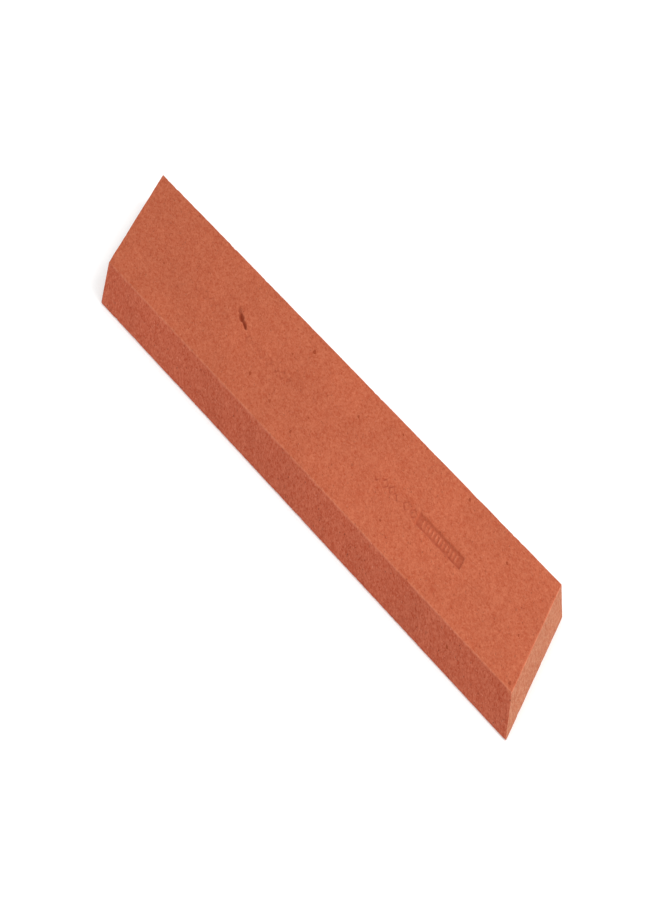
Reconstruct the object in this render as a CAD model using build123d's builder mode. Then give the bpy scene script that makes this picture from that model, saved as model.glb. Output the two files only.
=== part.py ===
from build123d import *

import math
import os

# A flat abrasive bar, moulded and fired in one piece, with one long side cut back as a bevel.
# X runs along the bar, the bevelled long side faces -Y and Z is up.
# The origin is the middle of the flat underside. Lengths are in millimetres, angles in degrees.

# The bar
length = 150.0
base_width = 29.5  # across the underside, over the rounded edges
thickness = 6.0
bevel_angle = 30.0  # how far the front long side leans back from upright
edge_radius = 0.25  # every edge and corner is slightly worn

# The stamp: a sunk panel with raised ribs, and rows of faint pressed diamonds on its line
stamp_offset_y = -0.85  # from the middle of the top face
panel_x = 41.9
panel_length = 15.6
panel_height = 2.8
panel_depth = 0.3
rib_count = 11
rib_pitch = 1.15
rib_width = 0.45
rib_height = 1.6
rib_rise = 0.2  # above the panel's floor, so the ribs stay below the top face
diamond_radius = 1.25
diamond_line = 0.4  # width of the pressed line that draws each diamond
diamond_pitch = 2.6
diamond_rows = [(26.2, 6, 0.1), (-21.2, 7, 0.06), (-43.5, 5, 0.05)]  # middle x, count, depth

# The nick: a narrow gouge in the top face, running out to a point at both ends
nick_middle = (-33.5, 1.9)  # y from the middle of the top face
nick_length = 5.7
nick_depth = 0.5
nick_turn = -29.0  # from the bar's length, seen from above

# Dark mineral grains fired into the body, flush with its faces: place on the face, and width
grain_depth_share = 0.7  # of a grain's width
grain_taper = 15.0  # its sides close in with depth
top_grains = [
    (-11.2, 9.1, 1.1),
    (-24.0, -6.4, 0.8),
    (-16.3, 4.8, 0.5),
    (-15.5, -7.5, 0.7),
    (-6.5, -9.0, 0.7),
    (-4.0, -3.4, 0.5),
    (-61.0, -2.9, 0.5),
    (7.9, 5.8, 0.7),
    (20.8, 10.7, 0.5),
    (44.3, 11.3, 0.7),
    (60.1, 7.1, 0.7),
    (25.8, -7.9, 0.5),
    (70.5, -2.8, 0.5),
    (73.5, -11.9, 0.8),
]
bevel_grains = [(53.9, 0.5, 0.6)]
back_grains = [(-52.0, 0.5, 0.6), (-9.0, -1.0, 0.8), (33.0, 1.0, 0.5)]
under_grains = [
    (-63.0, 5.0, 0.8),
    (-47.0, -8.5, 0.9),
    (-30.0, 9.5, 0.6),
    (-12.0, 1.5, 1.0),
    (3.0, -10.0, 0.5),
    (21.0, 7.0, 0.7),
    (38.0, -4.0, 0.9),
    (52.0, 11.0, 0.6),
    (66.0, -6.0, 0.7),
]
left_end_grains = [(-5.5, 0.5, 0.6)]

# Sizes that follow from the ones above
base_corner_angle = 90.0 - bevel_angle
rounding_loss = edge_radius * (1 / math.tan(math.radians(base_corner_angle / 2)) - 1)
back_y = base_width / 2
front_y = -base_width / 2 - rounding_loss  # the sharp front edge, before it is rounded
bevel_run = thickness * math.tan(math.radians(bevel_angle))
top_front_y = front_y + bevel_run
top_middle_y = (back_y + top_front_y) / 2
bevel_middle = (0, front_y + bevel_run / 2, thickness / 2)
bevel_normal = (0, -math.cos(math.radians(bevel_angle)), math.sin(math.radians(bevel_angle)))

# One plane on the middle of each face, facing out
top_face = Plane((0, top_middle_y, thickness), x_dir=(1, 0, 0), z_dir=(0, 0, 1))
bevel_face = Plane(bevel_middle, x_dir=(1, 0, 0), z_dir=bevel_normal)
back_face = Plane((0, back_y, thickness / 2), x_dir=(-1, 0, 0), z_dir=(0, 1, 0))
under_face = Plane((0, 0, 0), x_dir=(1, 0, 0), z_dir=(0, 0, -1))
left_face = Plane((-length / 2, 0, thickness / 2), x_dir=(0, -1, 0), z_dir=(-1, 0, 0))

grain_seats = [
    (top_face, top_grains),
    (bevel_face, bevel_grains),
    (back_face, back_grains),
    (under_face, under_grains),
    (left_face, left_end_grains),
]

os.makedirs("parts", exist_ok=True)

# Each grain is a small blunt crystal with six to eight sides, turned differently from its neighbours.
with BuildPart() as dark_grains:
    for face, grains in grain_seats:
        for number, (x, y, width) in enumerate(grains):
            with BuildSketch(face):
                with Locations((x, y)):
                    RegularPolygon(radius=width / 2, side_count=6 + number % 3, rotation=25 * number)
            extrude(amount=-width * grain_depth_share, taper=grain_taper)

dark_grains.part.label = "dark_grains"
export_step(dark_grains.part, "parts/dark_grains.step")

with BuildPart() as bar_body:
    # The bevelled section, run along the bar
    with BuildSketch(Plane.YZ.offset(-length / 2)):
        with BuildLine():
            Polyline(
                (front_y, 0),
                (back_y, 0),
                (back_y, thickness),
                (top_front_y, thickness),
                close=True,
            )
        make_face()
    extrude(amount=length)

    fillet(bar_body.edges(), radius=edge_radius)

    # The sunk panel and its ribs
    with BuildSketch(top_face):
        with Locations((panel_x, stamp_offset_y)):
            Rectangle(panel_length, panel_height)
    extrude(amount=-panel_depth, mode=Mode.SUBTRACT)
    with BuildSketch(top_face.offset(-panel_depth)):
        with Locations((panel_x, stamp_offset_y)):
            with GridLocations(rib_pitch, 0, rib_count, 1):
                Rectangle(rib_width, rib_height)
    extrude(amount=rib_rise)

    # The rows of pressed diamonds
    for row_x, count, depth in diamond_rows:
        with BuildSketch(top_face):
            with Locations((row_x, stamp_offset_y)):
                with GridLocations(diamond_pitch, 0, count, 1):
                    RegularPolygon(radius=diamond_radius, side_count=4)
                    RegularPolygon(
                        radius=diamond_radius - diamond_line,
                        side_count=4,
                        mode=Mode.SUBTRACT,
                    )
        extrude(amount=-depth, mode=Mode.SUBTRACT)

    # The nick is a spindle turned about a line lying in the top face
    nick_along = (math.cos(math.radians(nick_turn)), math.sin(math.radians(nick_turn)), 0)
    nick_centre = (nick_middle[0], top_middle_y + nick_middle[1], thickness)
    nick_plane = Plane(nick_centre, x_dir=nick_along, z_dir=(nick_along[1], -nick_along[0], 0))
    with BuildSketch(nick_plane):
        with BuildLine():
            ThreePointArc((-nick_length / 2, 0), (0, -nick_depth), (nick_length / 2, 0))
            Line((nick_length / 2, 0), (-nick_length / 2, 0))
        make_face()
    revolve(axis=Axis(nick_centre, nick_along), mode=Mode.SUBTRACT)

    # A seat for every grain
    add(dark_grains.part, mode=Mode.SUBTRACT)

bar_body.part.label = "bar_body"
export_step(bar_body.part, "parts/bar_body.step")
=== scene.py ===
import math
import random

import bmesh
import bpy
import numpy as np
from mathutils import Matrix, Vector, noise


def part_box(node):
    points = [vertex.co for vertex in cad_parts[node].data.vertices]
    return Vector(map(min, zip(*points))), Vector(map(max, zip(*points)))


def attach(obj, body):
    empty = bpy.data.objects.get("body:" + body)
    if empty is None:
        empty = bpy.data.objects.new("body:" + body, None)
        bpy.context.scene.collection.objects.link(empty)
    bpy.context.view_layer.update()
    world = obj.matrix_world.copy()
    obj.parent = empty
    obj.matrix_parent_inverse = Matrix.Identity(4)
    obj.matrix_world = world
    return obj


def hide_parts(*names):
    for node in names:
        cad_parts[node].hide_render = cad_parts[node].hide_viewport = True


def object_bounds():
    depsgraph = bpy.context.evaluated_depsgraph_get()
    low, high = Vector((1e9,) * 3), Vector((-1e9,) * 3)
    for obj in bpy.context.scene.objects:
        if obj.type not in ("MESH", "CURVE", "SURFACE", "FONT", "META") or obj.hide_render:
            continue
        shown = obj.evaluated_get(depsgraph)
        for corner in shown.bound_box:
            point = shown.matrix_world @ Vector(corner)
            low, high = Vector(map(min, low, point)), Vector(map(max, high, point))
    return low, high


# Looks for a flat abrasive bar with one bevelled long side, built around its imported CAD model.
# Everything is in metres in the CAD's own frame: X along the bar, the bevel faces -Y, Z is up.

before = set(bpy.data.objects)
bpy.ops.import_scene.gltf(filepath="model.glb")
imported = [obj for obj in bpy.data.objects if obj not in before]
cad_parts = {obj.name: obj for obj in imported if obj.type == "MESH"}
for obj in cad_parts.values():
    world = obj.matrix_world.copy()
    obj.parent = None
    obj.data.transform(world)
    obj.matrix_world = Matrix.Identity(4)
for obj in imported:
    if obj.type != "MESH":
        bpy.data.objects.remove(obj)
cad_low, cad_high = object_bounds()

MM = 0.001

# ---------------------------------------------------------------- sizes of the bar

body_low, body_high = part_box("bar_body")
LENGTH = body_high.x - body_low.x
THICKNESS = body_high.z - body_low.z
BEVEL_ANGLE = math.radians(30)
EDGE_RADIUS = 0.25 * MM

# The sharp outline of the section, before its corners are rounded by EDGE_RADIUS.
BASE_CORNER_ANGLE = math.pi / 2 - BEVEL_ANGLE
BACK_Y = body_high.y
FRONT_Y = body_low.y - EDGE_RADIUS * (1 / math.tan(BASE_CORNER_ANGLE / 2) - 1)
TOP_FRONT_Y = FRONT_Y + THICKNESS * math.tan(BEVEL_ANGLE)
TOP_MIDDLE_Y = (BACK_Y + TOP_FRONT_Y) / 2
SECTION = np.array([
    (FRONT_Y, body_low.z),
    (BACK_Y, body_low.z),
    (BACK_Y, body_high.z),
    (TOP_FRONT_Y, body_high.z),
])

# ---------------------------------------------------------------- marks pressed into the top face

STAMP_Y = TOP_MIDDLE_Y - 0.85 * MM
PANEL_X = 41.9 * MM
PANEL_SIZE = (15.6 * MM, 2.8 * MM)
PANEL_DEPTH = 0.3 * MM
PANEL_RIM = 0.35 * MM  # width of the band of painted shade inside its walls
RIM_SHIFT = 0.3 * MM  # the band is this much wider along the front wall and narrower along the back
RIB_COUNT = 11
RIB_PITCH = 1.15 * MM
RIB_SIZE = (0.45 * MM, 1.6 * MM)
RIB_RISE = 0.2 * MM
PRESS_BLUR = 0.42 * MM  # how softly a pressed edge turns over

DIAMOND_RADIUS = 1.25 * MM
DIAMOND_LINE = 0.4 * MM
DIAMOND_PITCH = 2.6 * MM
# middle x, count, depth
DIAMOND_ROWS = (
    (26.2 * MM, 6, 0.1 * MM),
    (-21.2 * MM, 7, 0.06 * MM),
    (-43.5 * MM, 5, 0.05 * MM),
)

NICK_MIDDLE = (-33.5 * MM, TOP_MIDDLE_Y + 1.9 * MM)
NICK_LENGTH = 5.7 * MM
NICK_DEPTH = 0.5 * MM
NICK_TURN = math.radians(-29)
NICK_RAGGEDNESS = 0.5  # how far its width swings, as a share
TINY = 1e-9  # keeps a division by that width safe where it runs out
# The nick is three lobes in a line: middle along and across it, half-length, half-width, depth share
NICK_LOBES = (
    (-1.95 * MM, -0.1 * MM, 0.9 * MM, 0.65 * MM, 0.5),
    (-0.4 * MM, -0.2 * MM, 1.25 * MM, 0.78 * MM, 1.0),
    (1.5 * MM, 0.0 * MM, 1.4 * MM, 0.5 * MM, 0.95),
)

# Pressed marks are worn unevenly: the mean share that is left, its swing, and its lowest and highest
RIB_WEAR = (0.8, 0.7, 0.3, 1)
# The next line makes the band of painted shade inside the panel's walls uneven the same way.
RIM_SHADE_UNEVEN = (0.8, 1.2, 0, 1.6)
ROW_WEAR = (1, 1.5, 0, 2)
# How far each mark darkens the body with painted shade in its hollow, where 1 is a full mark: the ribs are
# rubbed paler instead
PANEL_SHADE = 0.78
RIM_SHADE = 0.35
RIB_TONE = -1.5
ROW_SHADE = 3.0  # for a row as deep as the panel

# ---------------------------------------------------------------- the bar's mesh

LONG_STEP = 0.5 * MM  # along the bar, away from the marks
CROSS_STEP = 0.66 * MM  # across the bar and up its sides
EDGE_STEP = EDGE_RADIUS / 3
EDGE_ZONE = 2 * EDGE_RADIUS

# The lines are closer at the marks: one step along the bar for each mark, and one across it for all
PANEL_STEP = 0.175 * MM
PANEL_REACH = 0.52 * PANEL_SIZE[0]
ROW_STEPS = (0.2 * MM, 0.3 * MM, 0.3 * MM)
NICK_STEP = 0.15 * MM
ACROSS_STEP = 0.17 * MM
STAMP_REACH = 1.7 * MM  # across the bar, from STAMP_Y to beyond the panel's walls
ROUNDING = 1e-6  # a step count this little above a whole number is that number


def spaced_lines(start, end, step, fine_zones):
    """Positions from start to end, step apart, or closer inside the fine zones of (low, high, step)."""
    stops = {start, end}
    for low, high, _ in fine_zones:
        stops.update(min(max(stop, start), end) for stop in (low, high))
    stops = sorted(stops)
    lines = [start]
    for low, high in zip(stops, stops[1:]):
        middle = (low + high) / 2
        steps = [fine for a, b, fine in fine_zones if a < middle < b]
        count = math.ceil((high - low) / min(steps + [step]) - ROUNDING)
        lines.extend(np.linspace(low, high, count + 1)[1:])
    return np.array(lines)


def edge_zones(start, end):
    return [(start, start + EDGE_ZONE, EDGE_STEP), (end - EDGE_ZONE, end, EDGE_STEP)]


def zone_around(middle, reach, step):
    return (middle - reach, middle + reach, step)


def inset(corners, distance):
    """A convex outline, listed anticlockwise, moved inwards by distance on every side."""
    moved = []
    for before, here, after in zip(np.roll(corners, 1, 0), corners, np.roll(corners, -1, 0)):
        inward = []
        for a, b in ((before, here), (here, after)):
            along = (b - a) / np.linalg.norm(b - a)
            inward.append(np.array([-along[1], along[0]]))
        reach = np.array([inward[0] @ here + distance, inward[1] @ here + distance])
        moved.append(np.linalg.solve(np.array(inward), reach))
    return np.array(moved)


def nearest_in(points, corners):
    """Each point's nearest place inside a convex outline listed anticlockwise."""
    inside = np.ones(len(points), bool)
    best = points.copy()
    best_gap = np.full(len(points), np.inf)
    for a, b in zip(corners, np.roll(corners, -1, 0)):
        side = b - a
        offset = points - a
        inside &= side[0] * offset[:, 1] - side[1] * offset[:, 0] >= 0
        share = np.clip(offset @ side / (side @ side), 0, 1)
        place = a + share[:, None] * side
        gap = np.linalg.norm(points - place, axis=1)
        closer = gap < best_gap
        best[closer], best_gap[closer] = place[closer], gap[closer]
    best[inside] = points[inside]
    return best


def box_lattice(nx, ny, nz):
    """Grid places on the six sides of a box of nx by ny by nz cells, and the quads between them."""
    number = np.full((nx + 1, ny + 1, nz + 1), -1)
    i, j, k = np.indices(number.shape)
    skin = (i == 0) | (i == nx) | (j == 0) | (j == ny) | (k == 0) | (k == nz)
    number[skin] = np.arange(skin.sum())
    places = np.stack([i[skin], j[skin], k[skin]], 1)
    quads = []
    for axis in range(3):
        for side, sheet in enumerate((number.take(0, axis), number.take(-1, axis))):
            corners = [sheet[:-1, :-1], sheet[1:, :-1], sheet[1:, 1:], sheet[:-1, 1:]]
            outward = side == 1 if axis != 1 else side == 0
            if not outward:
                corners.reverse()
            quads.append(np.stack([c.ravel() for c in corners], 1))
    return places, np.concatenate(quads)


def body_lattice():
    """The bar as a closed skin of quads: sharp places, rounded places, outward directions and quads."""
    half = LENGTH / 2
    long_zones = edge_zones(-half, half)
    long_zones.append(zone_around(PANEL_X, PANEL_REACH, PANEL_STEP))
    for (row_x, count, _), row_step in zip(DIAMOND_ROWS, ROW_STEPS):
        long_zones.append(zone_around(row_x, count * DIAMOND_PITCH / 2, row_step))
    nick_reach = NICK_LENGTH / 2 * math.cos(NICK_TURN)
    long_zones.append(zone_around(NICK_MIDDLE[0], nick_reach, NICK_STEP))
    x_lines = spaced_lines(-half, half, LONG_STEP, long_zones)

    nick_rise = NICK_LENGTH / 2 * abs(math.sin(NICK_TURN))
    cross_zones = edge_zones(TOP_FRONT_Y, BACK_Y)
    cross_zones.append(zone_around(STAMP_Y, STAMP_REACH, ACROSS_STEP))
    cross_zones.append(zone_around(NICK_MIDDLE[1], nick_rise, ACROSS_STEP))
    y_lines = spaced_lines(TOP_FRONT_Y, BACK_Y, CROSS_STEP, cross_zones)
    z_lines = spaced_lines(
        body_low.z, body_high.z, CROSS_STEP, edge_zones(body_low.z, body_high.z)
    )

    places, quads = box_lattice(len(x_lines) - 1, len(y_lines) - 1, len(z_lines) - 1)
    x = x_lines[places[:, 0]]
    z = z_lines[places[:, 2]]
    share = (y_lines[places[:, 1]] - TOP_FRONT_Y) / (BACK_Y - TOP_FRONT_Y)
    front = FRONT_Y + (z - body_low.z) * math.tan(BEVEL_ANGLE)
    sharp = np.stack([x, front + share * (BACK_Y - front), z], 1)

    core = np.column_stack([
        np.clip(x, -half + EDGE_RADIUS, half - EDGE_RADIUS),
        nearest_in(sharp[:, 1:], inset(SECTION, EDGE_RADIUS)),
    ])
    outward = sharp - core
    outward /= np.linalg.norm(outward, axis=1)[:, None]
    return sharp, core + outward * EDGE_RADIUS, outward, quads


# ---------------------------------------------------------------- relief, as depth into the bar

# The faces are uneven at three sizes, each with its noise's seed and its mean depth.
LUMP_SIZE, LUMP_SEED, LUMP_DEPTH = 1.1 * MM, 0.0, 0.010 * MM
RIPPLE_SIZE, RIPPLE_SEED, RIPPLE_DEPTH = 3.5 * MM, 7.0, 0.008 * MM
WAVE_SIZE, WAVE_SEED, WAVE_DEPTH = 16 * MM, 3.0, 0.012 * MM
EDGE_WEAR_WIDTH = 0.4 * MM
EDGE_WEAR_DEPTH = 0.05 * MM  # at most, and only where ripples and lumps dip
CHIP_SEED = 11
CHIP_SPACING = 11 * MM  # along an edge, on average
CHIP_RADII = (0.3 * MM, 0.7 * MM)
CHIP_BITES = (0.06, 0.17)  # depth, as a share of the chip's radius
FACING_UP = 0.999  # places whose outward direction rises at least this much are on the top face


def soft_step(value, width):
    """From 0 to 1 as value passes through zero over the given width."""
    share = np.clip(value / width + 0.5, 0, 1)
    return share * share * (3 - 2 * share)


def pressed_box(x, y, middle, size):
    """1 inside a rectangle and 0 outside, with softly turned edges."""
    inside_x = soft_step(size[0] / 2 - np.abs(x - middle[0]), PRESS_BLUR)
    inside_y = soft_step(size[1] / 2 - np.abs(y - middle[1]), PRESS_BLUR)
    return inside_x * inside_y


def row_places(middle, pitch, count):
    return [middle + (number - (count - 1) / 2) * pitch for number in range(count)]


def panel_relief(x, y):
    """Shares of the panel's depth, of the band of painted shade just inside its walls, and of the ribs' rise.
    """
    panel = pressed_box(x, y, (PANEL_X, STAMP_Y), PANEL_SIZE)
    inner_size = [size - 2 * PANEL_RIM for size in PANEL_SIZE]
    inner = pressed_box(x, y, (PANEL_X, STAMP_Y + RIM_SHIFT), inner_size)
    ribs = np.zeros_like(x)
    for rib_x in row_places(PANEL_X, RIB_PITCH, RIB_COUNT):
        ribs = np.maximum(ribs, pressed_box(x, y, (rib_x, STAMP_Y), RIB_SIZE))
    return panel, panel - inner, ribs


def diamond_relief(x, y, row_x, count):
    line_middle = DIAMOND_RADIUS - DIAMOND_LINE / 2
    rows = np.zeros_like(x)
    for diamond_x in row_places(row_x, DIAMOND_PITCH, count):
        reach = np.abs(x - diamond_x) + np.abs(y - STAMP_Y)
        rows = np.maximum(rows, soft_step(DIAMOND_LINE / 2 - np.abs(reach - line_middle), PRESS_BLUR))
    return rows


def nick_relief(x, y, ragged):
    """Depth share of the nick, a ragged gouge that pinches in between its lobes."""
    dx, dy = x - NICK_MIDDLE[0], y - NICK_MIDDLE[1]
    along = dx * math.cos(NICK_TURN) + dy * math.sin(NICK_TURN)
    across = dy * math.cos(NICK_TURN) - dx * math.sin(NICK_TURN)
    share = np.zeros_like(x)
    for lobe_along, lobe_across, half_length, half_width, depth in NICK_LOBES:
        belly = np.sqrt(np.clip(1 - ((along - lobe_along) / half_length) ** 2, 0, 1))
        reach = np.maximum(half_width * belly * (1 + NICK_RAGGEDNESS * ragged), TINY)
        bowl = np.clip(1 - ((across - lobe_across) / reach) ** 2, 0, 1)
        share = np.maximum(share, depth * belly * bowl)
    return share


def perlin(points, size, seed):
    """Smooth noise from about -1 to 1 at each point, with lumps of the given size."""
    return np.array([noise.noise(Vector(p) / size + Vector((seed, seed, seed))) for p in points])


def edge_lines():
    """The bar's twelve sharp edges as pairs of end points."""
    lines = []
    ends = (-LENGTH / 2, LENGTH / 2)
    for here, after in zip(SECTION, np.roll(SECTION, -1, 0)):
        lines.append((np.array([ends[0], *here]), np.array([ends[1], *here])))
        lines += [(np.array([x, *here]), np.array([x, *after])) for x in ends]
    return lines


def chip_relief(points):
    """Small rounded bites out of the edges, where grains have broken away."""
    rng = random.Random(CHIP_SEED)
    depth = np.zeros(len(points))
    for start, end in edge_lines():
        for _ in range(max(1, round(np.linalg.norm(end - start) / CHIP_SPACING))):
            middle = start + rng.random() * (end - start)
            radius = rng.uniform(*CHIP_RADII)
            bite = rng.uniform(*CHIP_BITES) * radius
            gap = np.linalg.norm(points - middle, axis=1)
            depth = np.maximum(depth, bite * np.clip(1 - (gap / radius) ** 2, 0, 1) ** 1.5)
    return depth


def edge_gap(sharp):
    """Distance from each sharp place to the nearest edge: the second nearest of the six faces."""
    gaps = [sharp[:, 0] + LENGTH / 2, LENGTH / 2 - sharp[:, 0]]
    for a, b in zip(SECTION, np.roll(SECTION, -1, 0)):
        along = (b - a) / np.linalg.norm(b - a)
        gaps.append((sharp[:, 1:] - a) @ np.array([-along[1], along[0]]))
    return np.sort(np.array(gaps), axis=0)[1]


def worn_share(lumps, mean, swing, lowest, highest):
    """How much of a pressed mark is left at each point, uneven with the lumps; for the rim, how much of its
    painted shade.
    """
    return np.clip(mean + swing * lumps, lowest, highest)


def build_body():
    """The bar's mesh. Its marks (painted shade in their hollows, rubbed pale ribs), its nick and the distance
    to its edges are kept on it for its colour.
    """
    sharp, rounded, outward, quads = body_lattice()
    x, y = rounded[:, 0], rounded[:, 1]
    on_top = outward[:, 2] > FACING_UP

    lumps = perlin(rounded, LUMP_SIZE, LUMP_SEED)
    ripples = perlin(rounded, RIPPLE_SIZE, RIPPLE_SEED)
    waves = perlin(rounded, WAVE_SIZE, WAVE_SEED)
    gap = edge_gap(sharp)
    near_edge = np.exp(-((gap / EDGE_WEAR_WIDTH) ** 2))

    depth = LUMP_DEPTH * (1 + lumps) + RIPPLE_DEPTH * (1 + ripples) + WAVE_DEPTH * (1 + waves)
    depth += EDGE_WEAR_DEPTH * near_edge * np.clip(ripples + 0.8 * lumps, 0, 1)
    depth += chip_relief(sharp)

    panel, rim, ribs = panel_relief(x, y)
    ribs *= worn_share(lumps, *RIB_WEAR)
    # The rim's painted shade is made uneven with the lumps.
    rim *= worn_share(lumps, *RIM_SHADE_UNEVEN)
    depth += on_top * (PANEL_DEPTH * panel - RIB_RISE * ribs)
    # The panel's hollow and the band inside its walls get painted shade; the ribs are rubbed pale.
    mark = on_top * (PANEL_SHADE * panel + RIM_SHADE * rim + RIB_TONE * ribs)
    for row_x, count, row_depth in DIAMOND_ROWS:
        row = on_top * diamond_relief(x, y, row_x, count) * worn_share(lumps, *ROW_WEAR)
        depth += row_depth * row
        # Each row's grooves get painted shade, as much as their depth.
        mark += ROW_SHADE * row * row_depth / PANEL_DEPTH
    nick = on_top * nick_relief(x, y, lumps)
    depth += NICK_DEPTH * nick

    final = rounded - outward * depth[:, None]
    mesh = bpy.data.meshes.new("bar_body_skin")
    mesh.from_pydata(final.tolist(), [], quads.tolist())
    mesh.validate()
    for name, values in (("mark", mark), ("nick", np.clip(nick, 0, 1)), ("edge_gap", gap / MM)):
        layer = mesh.attributes.new(name, "FLOAT", "POINT")
        layer.data.foreach_set("value", values.astype(np.float32))
    mesh.shade_smooth()
    return mesh


# ---------------------------------------------------------------- the dark grains' mesh

GRAIN_SINK = 0.5  # how far a grain's middle lies below the face, as a share of its half-height
GRAIN_HALF_HEIGHT = 0.45  # as a share of its width
GRAIN_CLEARANCE = 0.003 * MM  # between the CAD's face and the highest point of a crown
GRAIN_CROWN = 0.12  # height of what stands above the sunk part, as a share of a full round crown
GRAIN_ROUNDS = 4  # subdivisions of each one's icosphere
GRAIN_SEED = 5
# Two noises shape each nodule, each with its lumps to the nodule's radius and its strength
BROAD_SCALE, BROAD_STRENGTH = 1.3, 0.25
FINE_SCALE, FINE_STRENGTH = 3.1, 0.14
NOISE_STRIDE = 5.0  # from one nodule's noise to the next one's
WELD_GAP = 0.001 * MM  # corners of the CAD's mesh closer than this are one corner
WIDE_GRAIN = 1.1 * MM  # grains this wide are the darkest, and narrower ones hold more of the body's clay
NARROW_GRAIN = 0.8 * MM
NARROW_CLAY = 0.1  # share of clay that the narrow ones hold
CHANCE_CLAY = 0.06  # and the most that chance adds to any of them


def cad_grains():
    """The middle of the mouth, the outward direction and the width of each grain in the CAD node."""
    mesh = bmesh.new()
    mesh.from_mesh(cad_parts["dark_grains"].data)
    bmesh.ops.remove_doubles(mesh, verts=mesh.verts, dist=WELD_GAP)
    found, seen = [], set()
    for first in mesh.faces:
        if first in seen:
            continue
        island, waiting = [], [first]
        seen.add(first)
        while waiting:
            face = waiting.pop()
            island.append(face)
            for edge in face.edges:
                for other in edge.link_faces:
                    if other not in seen:
                        seen.add(other)
                        waiting.append(other)
        found.append(mouth_of(island))
    mesh.free()
    return sorted(found, key=lambda grain: tuple(grain[0]))


def mouth_of(island):
    """A tapered grain's mouth is its widest side, so the direction with the most area faces out of it."""
    areas = {}
    for face in island:
        key = tuple(round(value, 2) for value in face.normal)
        areas.setdefault(key, []).append(face)
    mouth = max(areas.values(), key=lambda faces: sum(face.calc_area() for face in faces))
    corners = {vertex for face in mouth for vertex in face.verts}
    middle = sum((vertex.co for vertex in corners), Vector()) / len(corners)
    width = 2 * max((vertex.co - middle).length for vertex in corners)
    return middle, mouth[0].normal.copy(), width


def build_grains():
    """Each grain is a lumpy nodule whose low worn crown just fills its mouth in the CAD's face."""
    mesh = bmesh.new()
    clay = mesh.verts.layers.float.new("clay")
    rng = random.Random(GRAIN_SEED)
    for number, (middle, normal, width) in enumerate(cad_grains()):
        narrow = min(max((WIDE_GRAIN - width) / (WIDE_GRAIN - NARROW_GRAIN), 0), 1)
        clay_share = NARROW_CLAY * narrow + rng.uniform(0.0, CHANCE_CLAY)
        half_height = GRAIN_HALF_HEIGHT * width
        half_width = width / 2 / math.sqrt(1 - GRAIN_SINK**2)
        crown_height = (1 - GRAIN_SINK) * half_height * GRAIN_CROWN
        turn = normal.to_track_quat("Z", "Y").to_matrix().to_4x4()
        place = Matrix.Translation(middle - normal * (crown_height + GRAIN_CLEARANCE)) @ turn
        stride = number * NOISE_STRIDE
        nodule = bmesh.ops.create_icosphere(mesh, subdivisions=GRAIN_ROUNDS, radius=1)["verts"]
        for vertex in nodule:
            broad = noise.noise(vertex.co * BROAD_SCALE + Vector((stride, 0, 0)))
            fine = noise.noise(vertex.co * FINE_SCALE + Vector((0, stride, 0)))
            rough = 1 + BROAD_STRENGTH * broad + FINE_STRENGTH * fine
            rise = min(vertex.co.z * rough, 1.0) - GRAIN_SINK
            if rise > 0:
                rise *= GRAIN_CROWN
            vertex.co.x *= half_width * rough
            vertex.co.y *= half_width * rough
            vertex.co.z = rise * half_height
            vertex.co = place @ vertex.co
            vertex[clay] = clay_share
    for face in mesh.faces:
        face.smooth = True
    skin = bpy.data.meshes.new("dark_grain_nodules")
    mesh.to_mesh(skin)
    mesh.free()
    return skin


# ---------------------------------------------------------------- materials


def socket(node, name):
    """The first input of that name that is switched on."""
    return next(entry for entry in node.inputs if entry.name == name and entry.enabled)


def add_node(tree, kind, inputs=None, **settings):
    """A new node with its settings made, and its inputs linked or filled by name or number."""
    made = tree.nodes.new(kind)
    for name, value in settings.items():
        setattr(made, name, value)
    for name, value in (inputs or {}).items():
        entry = made.inputs[name] if isinstance(name, int) else socket(made, name)
        if isinstance(value, bpy.types.NodeSocket):
            tree.links.new(value, entry)
        else:
            entry.default_value = value
    return made


def maths(tree, operation, *values, clamp=False):
    inputs = dict(enumerate(values))
    return add_node(tree, "ShaderNodeMath", inputs, operation=operation, use_clamp=clamp).outputs[0]


def ramp(tree, value, low, high):
    """From 0 to 1, smoothly, as value goes from low to high."""
    made = add_node(
        tree,
        "ShaderNodeMapRange",
        {"Value": value, "From Min": low, "From Max": high},
        interpolation_type="SMOOTHSTEP",
    )
    return made.outputs["Result"]


def mix_colours(tree, share, a, b):
    made = add_node(tree, "ShaderNodeMix", {"Factor": share, "A": a, "B": b}, data_type="RGBA")
    return next(entry for entry in made.outputs if entry.enabled)


def product(tree, a, b):
    """Two colours, or a colour and a number, multiplied channel by channel."""
    return add_node(tree, "ShaderNodeVectorMath", {0: a, 1: b}, operation="MULTIPLY").outputs[0]


def noise_field(tree, place, size, detail=2.0, rough=0.5):
    """Smooth noise with lumps of about the given size, from 0 to 1."""
    inputs = {"Vector": place, "Scale": 1 / size, "Detail": detail, "Roughness": rough}
    return add_node(tree, "ShaderNodeTexNoise", inputs).outputs["Fac"]


def cells(tree, place, size, offset=0.0):
    """Cells of the given size: distance to the nearest one's middle, in cells, and its two random numbers."""
    moved = add_node(
        tree, "ShaderNodeVectorMath", {0: place, 1: (offset, offset, offset)}, operation="ADD"
    ).outputs[0]
    made = add_node(tree, "ShaderNodeTexVoronoi", {"Vector": moved, "Scale": 1 / size})
    parts = add_node(tree, "ShaderNodeSeparateColor", {"Color": made.outputs["Color"]})
    return made.outputs["Distance"], parts.outputs["Red"], parts.outputs["Green"]


def start_material(name):
    material = bpy.data.materials.new(name)
    material.use_nodes = True
    tree = material.node_tree
    tree.nodes.clear()
    place = add_node(tree, "ShaderNodeTexCoord").outputs["Object"]
    return material, tree, place


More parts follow.
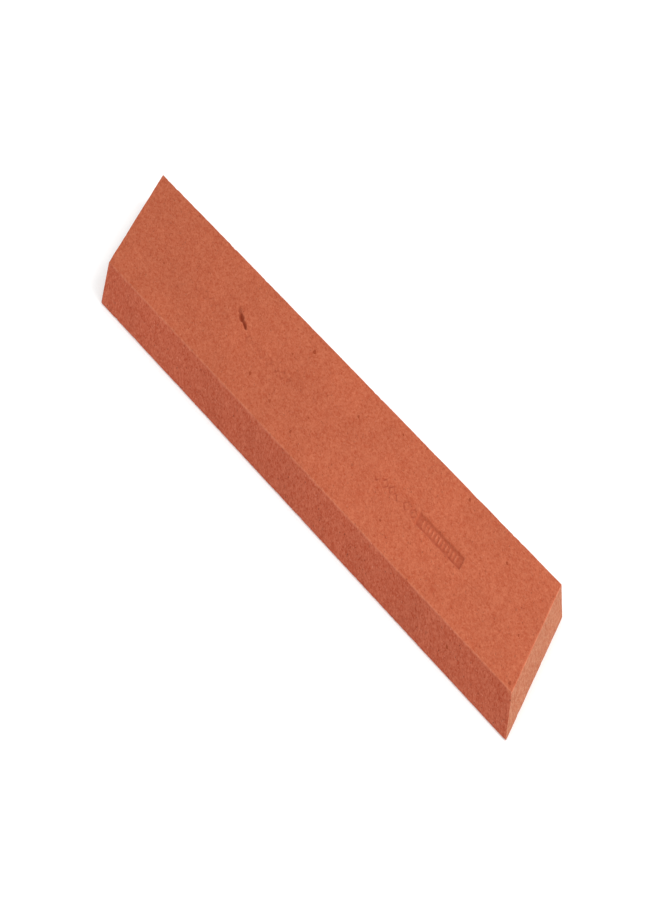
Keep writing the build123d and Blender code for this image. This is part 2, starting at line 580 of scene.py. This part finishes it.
def finish_material(tree, colour, roughness, height, depth, specular):
    """The shader and its output, with the height field as a bump of the given depth."""
    bump = add_node(
        tree, "ShaderNodeBump", {"Height": height, "Distance": depth, "Strength": 1.0}
    )
    shader = add_node(
        tree,
        "ShaderNodeBsdfPrincipled",
        {
            "Base Color": colour,
            "Roughness": roughness,
            "Normal": bump.outputs["Normal"],
            "Specular IOR Level": specular,
        },
    )
    add_node(tree, "ShaderNodeOutputMaterial", {"Surface": shader.outputs["BSDF"]})


# Linear colours. The grain runs from BODY_DARK to BODY_PALE around the body's mean.
BODY_DARK = (0.378, 0.063, 0.0236, 1)
BODY_PALE = (0.550, 0.159, 0.0796, 1)
# The next colour is the pale of rubbed ribs and worn edges, and along the edges also a painted edge
# highlight.
WORN_AND_HIGHLIGHT = (0.600, 0.205, 0.118, 1)
# The next colour is painted shade for the hollows of the pressed marks.
HOLLOW_SHADE_RED = (0.330, 0.058, 0.026, 1)
NICK_BROWN = (0.240, 0.031, 0.009, 1)
SPECK_DARK = (0.170, 0.034, 0.015, 1)
# The next colour is that of the pale specks and of the painted glints.
SPECK_PALE_AND_GLINT = (0.640, 0.235, 0.140, 1)
GRAIN_DARK = (0.200, 0.031, 0.0105, 1)
GRAIN_LIGHT = (0.380, 0.066, 0.0235, 1)

# Factors on the body's colour: the long sides are a little redder and the ends are a paler tan.
NO_TINT = (1, 1, 1, 1)
FLANK_TINT = (1.08, 1.02, 1.12, 1)
END_TINT = (0.93, 1.41, 1.65, 1)

# A face counts as a long side or an end as its normal's Y or X part passes through these.
FLANK_FACING = (0.7, 0.85)
END_FACING = (0.75, 0.95)

# Edge wear, together with a painted edge highlight, fades out over these distances from an edge, in
# millimetres. The strengths are shares of a full mix.
EDGE_WEAR_AND_HIGHLIGHT_REACH = (0.05, 0.32)
EDGE_WEAR_AND_HIGHLIGHT_STRENGTH = 0.45
RUBBED_STRENGTH = 0.6
# strength of the painted shade in the pressed hollows
HOLLOW_SHADE_STRENGTH = 0.6
NICK_POWER = 0.8  # under 1, so that the nick's colour reaches its shallow rim

# Painted light fall-off: brightness at the left end, its gain along the bar on the top, and what the long
# sides add to that gain, so that they darken a little towards the right end.
PAINTED_LIGHT_AT_LEFT = 0.95
PAINTED_LIGHT_TOP_GAIN = 0.085
PAINTED_LIGHT_FLANK_GAIN = -0.105
PAINTED_LIGHT_SPAN = (-0.55 * LENGTH, 0.35 * LENGTH)
PATCH_SWING = 0.2  # from the darkest wide patch to the palest


def spots(tree, place, spacing, radius, share, offset):
    """Round spots of about the given radius, on a share of the cells that are spacing apart."""
    distance, chance, size = cells(tree, place, spacing, offset)
    reach = maths(tree, "MULTIPLY_ADD", size, radius / spacing, 0.5 * radius / spacing)
    inside = maths(tree, "SUBTRACT", reach, distance)
    shown = maths(tree, "LESS_THAN", chance, share)
    return maths(tree, "MULTIPLY", ramp(tree, inside, 0.0, 0.5 * radius / spacing), shown)


def fired_body_material():
    """Matt orange-brown fired body of fine bonded grains, with paler tan ends, worn edges that also carry a
    painted edge highlight, painted glints, painted shade in the pressed hollows and a painted light fall-off
    along the bar.
    """
    material, tree, place = start_material("fired_body")
    gap = add_node(tree, "ShaderNodeAttribute", attribute_name="edge_gap").outputs["Fac"]
    mark = add_node(tree, "ShaderNodeAttribute", attribute_name="mark").outputs["Fac"]
    nick = add_node(tree, "ShaderNodeAttribute", attribute_name="nick").outputs["Fac"]
    geometry = add_node(tree, "ShaderNodeNewGeometry")
    facing = add_node(tree, "ShaderNodeSeparateXYZ", {0: geometry.outputs["True Normal"]})
    along = add_node(tree, "ShaderNodeSeparateXYZ", {0: place}).outputs[0]
    flank = ramp(tree, maths(tree, "ABSOLUTE", facing.outputs[1]), *FLANK_FACING)
    end = ramp(tree, maths(tree, "ABSOLUTE", facing.outputs[0]), *END_FACING)

    patches = noise_field(tree, place, 12 * MM, detail=3.0)
    clouds = noise_field(tree, place, 3.2 * MM, detail=3.0)
    mottle = noise_field(tree, place, 0.8 * MM, detail=3.0, rough=0.6)
    grit_distance, grit, grit_other = cells(tree, place, 0.44 * MM)
    _, sand, _ = cells(tree, place, 0.24 * MM, offset=1.7)
    dust = noise_field(tree, place, 0.14 * MM, rough=0.7)

    tone = 0.5
    # Each field's weight on the top, and what the long sides add to it, because their grain is finer.
    weights = (
        (clouds, 0.28, 0.0),
        (mottle, 0.5, -0.14),
        (grit, 0.39, 0.0),
        (sand, 0.37, 0.22),
        (dust, 0.32, 0.45),
    )
    for field, top_weight, flank_extra in weights:
        weight = maths(tree, "MULTIPLY_ADD", flank, flank_extra, top_weight)
        tone = maths(tree, "MULTIPLY_ADD", maths(tree, "SUBTRACT", field, 0.5), weight, tone)
    colour = mix_colours(tree, maths(tree, "MAXIMUM", tone, 0.0, clamp=True), BODY_DARK, BODY_PALE)

    blots = spots(tree, place, spacing=2.3 * MM, radius=0.26 * MM, share=0.35, offset=3.1)
    pores = spots(tree, place, spacing=0.8 * MM, radius=0.11 * MM, share=0.5, offset=12.3)
    pale_grit = spots(tree, place, spacing=1.9 * MM, radius=0.16 * MM, share=0.22, offset=7.7)
    # The finest pale spots are painted glints, tiny sparkles, stronger on the long sides.
    painted_glints = spots(tree, place, spacing=0.7 * MM, radius=0.1 * MM, share=0.35, offset=17.9)
    # Each kind of speck, its colour, its strength on the top, and what the long sides add to that.
    specks = (
        (blots, SPECK_DARK, 0.3, 0.0),
        (pores, SPECK_DARK, 0.5, 0.3),
        (pale_grit, SPECK_PALE_AND_GLINT, 0.35, 0.2),
        (painted_glints, SPECK_PALE_AND_GLINT, 0.4, 0.4),
    )
    for field, speck_colour, top_strength, flank_extra in specks:
        strength = maths(tree, "MULTIPLY_ADD", flank, flank_extra, top_strength)
        colour = mix_colours(tree, maths(tree, "MULTIPLY", field, strength), colour, speck_colour)

    # Ridges carry a negative mark and are rubbed pale, and hollows carry a positive one and take painted
    # shade, a deeper red.
    # Along the edges this pale mix is real wear and a painted edge highlight together.
    wear_and_highlight = maths(tree, "SUBTRACT", 1.0, ramp(tree, gap, *EDGE_WEAR_AND_HIGHLIGHT_REACH))
    wear_and_highlight = maths(tree, "MULTIPLY", wear_and_highlight, ramp(tree, mottle, 0.2, 0.6))
    rubbed = maths(tree, "MULTIPLY", mark, -RUBBED_STRENGTH, clamp=True)
    wear_and_highlight = maths(tree, "MAXIMUM", maths(tree, "MULTIPLY", wear_and_highlight, EDGE_WEAR_AND_HIGHLIGHT_STRENGTH), rubbed)
    colour = mix_colours(tree, wear_and_highlight, colour, WORN_AND_HIGHLIGHT)
    painted_hollow_shade = maths(tree, "MULTIPLY", mark, HOLLOW_SHADE_STRENGTH, clamp=True)
    colour = mix_colours(tree, painted_hollow_shade, colour, HOLLOW_SHADE_RED)
    gouged = maths(tree, "POWER", nick, NICK_POWER, clamp=True)
    colour = mix_colours(tree, gouged, colour, NICK_BROWN)

    tint = mix_colours(tree, flank, NO_TINT, FLANK_TINT)
    tint = mix_colours(tree, end, tint, END_TINT)
    # Painted light fall-off along the bar: the top brightens towards the right end and the long sides darken
    # a little. The wide patches are the body's own tone.
    painted_light_gain = maths(tree, "MULTIPLY_ADD", flank, PAINTED_LIGHT_FLANK_GAIN, PAINTED_LIGHT_TOP_GAIN)
    painted_light_and_patches = maths(tree, "MULTIPLY_ADD", ramp(tree, along, *PAINTED_LIGHT_SPAN), painted_light_gain, PAINTED_LIGHT_AT_LEFT)
    painted_light_and_patches = maths(tree, "MULTIPLY_ADD", maths(tree, "SUBTRACT", patches, 0.5), PATCH_SWING, painted_light_and_patches)
    colour = product(tree, product(tree, colour, tint), painted_light_and_patches)

    roughness = maths(tree, "MULTIPLY_ADD", mottle, 0.15, 0.82, clamp=True)
    # The bump's height: mottle, grit, sand and dust stand up, and the pores are pits.
    pits = maths(tree, "MULTIPLY", ramp(tree, grit_distance, 0.0, 0.7), -0.5)
    height = maths(tree, "MULTIPLY_ADD", mottle, 0.9, maths(tree, "ADD", pits, grit_other))
    height = maths(tree, "MULTIPLY_ADD", sand, 0.6, height)
    height = maths(tree, "MULTIPLY_ADD", dust, 0.5, height)
    height = maths(tree, "MULTIPLY_ADD", pores, -1.5, height)
    finish_material(tree, colour, roughness, height, depth=0.05 * MM, specular=0.15)
    return material


def dark_mineral_material():
    """Dull dark red-brown mineral with a few lighter facets."""
    material, tree, place = start_material("dark_mineral")
    lumps = noise_field(tree, place, 0.25 * MM, detail=3.0, rough=0.6)
    _, facet, _ = cells(tree, place, 0.2 * MM)
    tone = maths(tree, "MULTIPLY_ADD", facet, 0.4, maths(tree, "MULTIPLY", lumps, 0.6))
    colour = mix_colours(tree, tone, GRAIN_DARK, GRAIN_LIGHT)
    clay = add_node(tree, "ShaderNodeAttribute", attribute_name="clay").outputs["Fac"]
    colour = mix_colours(tree, clay, colour, BODY_PALE)
    roughness = maths(tree, "MULTIPLY_ADD", facet, 0.25, 0.6)
    finish_material(tree, colour, roughness, lumps, depth=0.03 * MM, specular=0.08)
    return material


# ---------------------------------------------------------------- the pieces


def add_piece(name, mesh, material, node):
    mesh.name = name
    mesh.materials.append(material)
    piece = bpy.data.objects.new(name, mesh)
    bpy.context.scene.collection.objects.link(piece)
    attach(piece, "root")
    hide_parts(node)


add_piece("bar_body_skin", build_body(), fired_body_material(), "bar_body")
add_piece(
    "dark_grain_nodules", build_grains(), dark_mineral_material(), "dark_grains"
)

# ---------------------------------------------------------------- floor, light and camera

WHITE = (1, 1, 1, 1)
FLOOR_SIZE = 12.0
FLOOR_COLOUR = (0.88, 0.88, 0.88, 1)
FLOOR_GLOW = 0.14  # lifts the soft shadow, so that it stays faint on white

KEY_AZIMUTH = math.radians(25)  # from +X towards +Y
KEY_ELEVATION = math.radians(36)
KEY_DISTANCE = 1.2
KEY_SIZE = 0.7
KEY_POWER = 8.0
SKY_STRENGTH = 0.95  # on the bar; straight into the camera it is plain white


def add_floor():
    mesh = bpy.data.meshes.new("floor")
    half = FLOOR_SIZE / 2
    corners = [(-half, -half), (half, -half), (half, half), (-half, half)]
    mesh.from_pydata([(x, y, cad_low.z) for x, y in corners], [], [(0, 1, 2, 3)])
    material = bpy.data.materials.new("white_floor")
    material.use_nodes = True
    shader = material.node_tree.nodes["Principled BSDF"]
    shader.inputs["Base Color"].default_value = FLOOR_COLOUR
    shader.inputs["Roughness"].default_value = 0.9
    shader.inputs["Specular IOR Level"].default_value = 0.1
    shader.inputs["Emission Color"].default_value = WHITE
    shader.inputs["Emission Strength"].default_value = FLOOR_GLOW
    mesh.materials.append(material)
    floor = bpy.data.objects.new("floor", mesh)
    bpy.context.scene.collection.objects.link(floor)


def add_key_light():
    """One square soft light, aimed at the bar from beyond its right end."""
    direction = Vector((
        math.cos(KEY_AZIMUTH) * math.cos(KEY_ELEVATION),
        math.sin(KEY_AZIMUTH) * math.cos(KEY_ELEVATION),
        math.sin(KEY_ELEVATION),
    ))
    light = bpy.data.lights.new("key", "AREA")
    light.size = KEY_SIZE
    light.energy = KEY_POWER
    lamp = bpy.data.objects.new("key", light)
    lamp.location = direction * KEY_DISTANCE
    lamp.rotation_euler = direction.to_track_quat("Z", "Y").to_euler()
    bpy.context.scene.collection.objects.link(lamp)


def add_sky():
    world = bpy.data.worlds.new("studio")
    world.use_nodes = True
    background = world.node_tree.nodes["Background"]
    background.inputs["Color"].default_value = WHITE
    seen = add_node(world.node_tree, "ShaderNodeLightPath").outputs["Is Camera Ray"]
    strength = maths(world.node_tree, "MULTIPLY_ADD", seen, 1 - SKY_STRENGTH, SKY_STRENGTH)
    world.node_tree.links.new(strength, background.inputs["Strength"])
    bpy.context.scene.world = world


# The photograph shows the bar drawn out upright to about 2.1 times its true height. A lens that is
# shifted far down from its axis draws the same picture, so the camera looks slightly upwards and the
# shift brings the bar into view.
CAMERA_DISTANCE = 11.121 * LENGTH
CAMERA_AZIMUTH = math.radians(37.03)  # from -Y towards +X
CAMERA_ELEVATION = math.radians(41.44)
AXIS_AZIMUTH = math.radians(36.93)
AXIS_ELEVATION = math.radians(20.49)
LENS_MM = 105.31
SHIFT_Y = -5.4808
HOME_REACH = 0.001  # the shift is on only while the camera is this close to its own place


def add_camera():
    """The camera, with its shift switched off as soon as it is moved from its own place."""
    data = bpy.data.cameras.new("camera")
    data.lens = LENS_MM
    data.clip_start, data.clip_end = 0.01, 100
    camera = bpy.data.objects.new("camera", data)
    bpy.context.scene.collection.objects.link(camera)
    camera.location = CAMERA_DISTANCE * Vector((
        math.sin(CAMERA_AZIMUTH) * math.cos(CAMERA_ELEVATION),
        -math.cos(CAMERA_AZIMUTH) * math.cos(CAMERA_ELEVATION),
        math.sin(CAMERA_ELEVATION),
    ))
    axis = Vector((
        -math.sin(AXIS_AZIMUTH) * math.cos(AXIS_ELEVATION),
        math.cos(AXIS_AZIMUTH) * math.cos(AXIS_ELEVATION),
        math.sin(AXIS_ELEVATION),
    ))
    camera.rotation_euler = axis.to_track_quat("-Z", "Y").to_euler()
    home = bpy.data.objects.new("camera_home", None)
    home.location = camera.location
    bpy.context.scene.collection.objects.link(home)
    driver = data.driver_add("shift_y").driver
    driver.type = "SCRIPTED"
    gap = driver.variables.new()
    gap.name = "gap"
    gap.type = "LOC_DIFF"
    gap.targets[0].id = camera
    gap.targets[1].id = home
    driver.expression = f"{SHIFT_Y} * (gap < {HOME_REACH})"
    bpy.context.scene.camera = camera


add_floor()
add_sky()
add_key_light()
add_camera()
bpy.context.scene.view_settings.view_transform = "Standard"
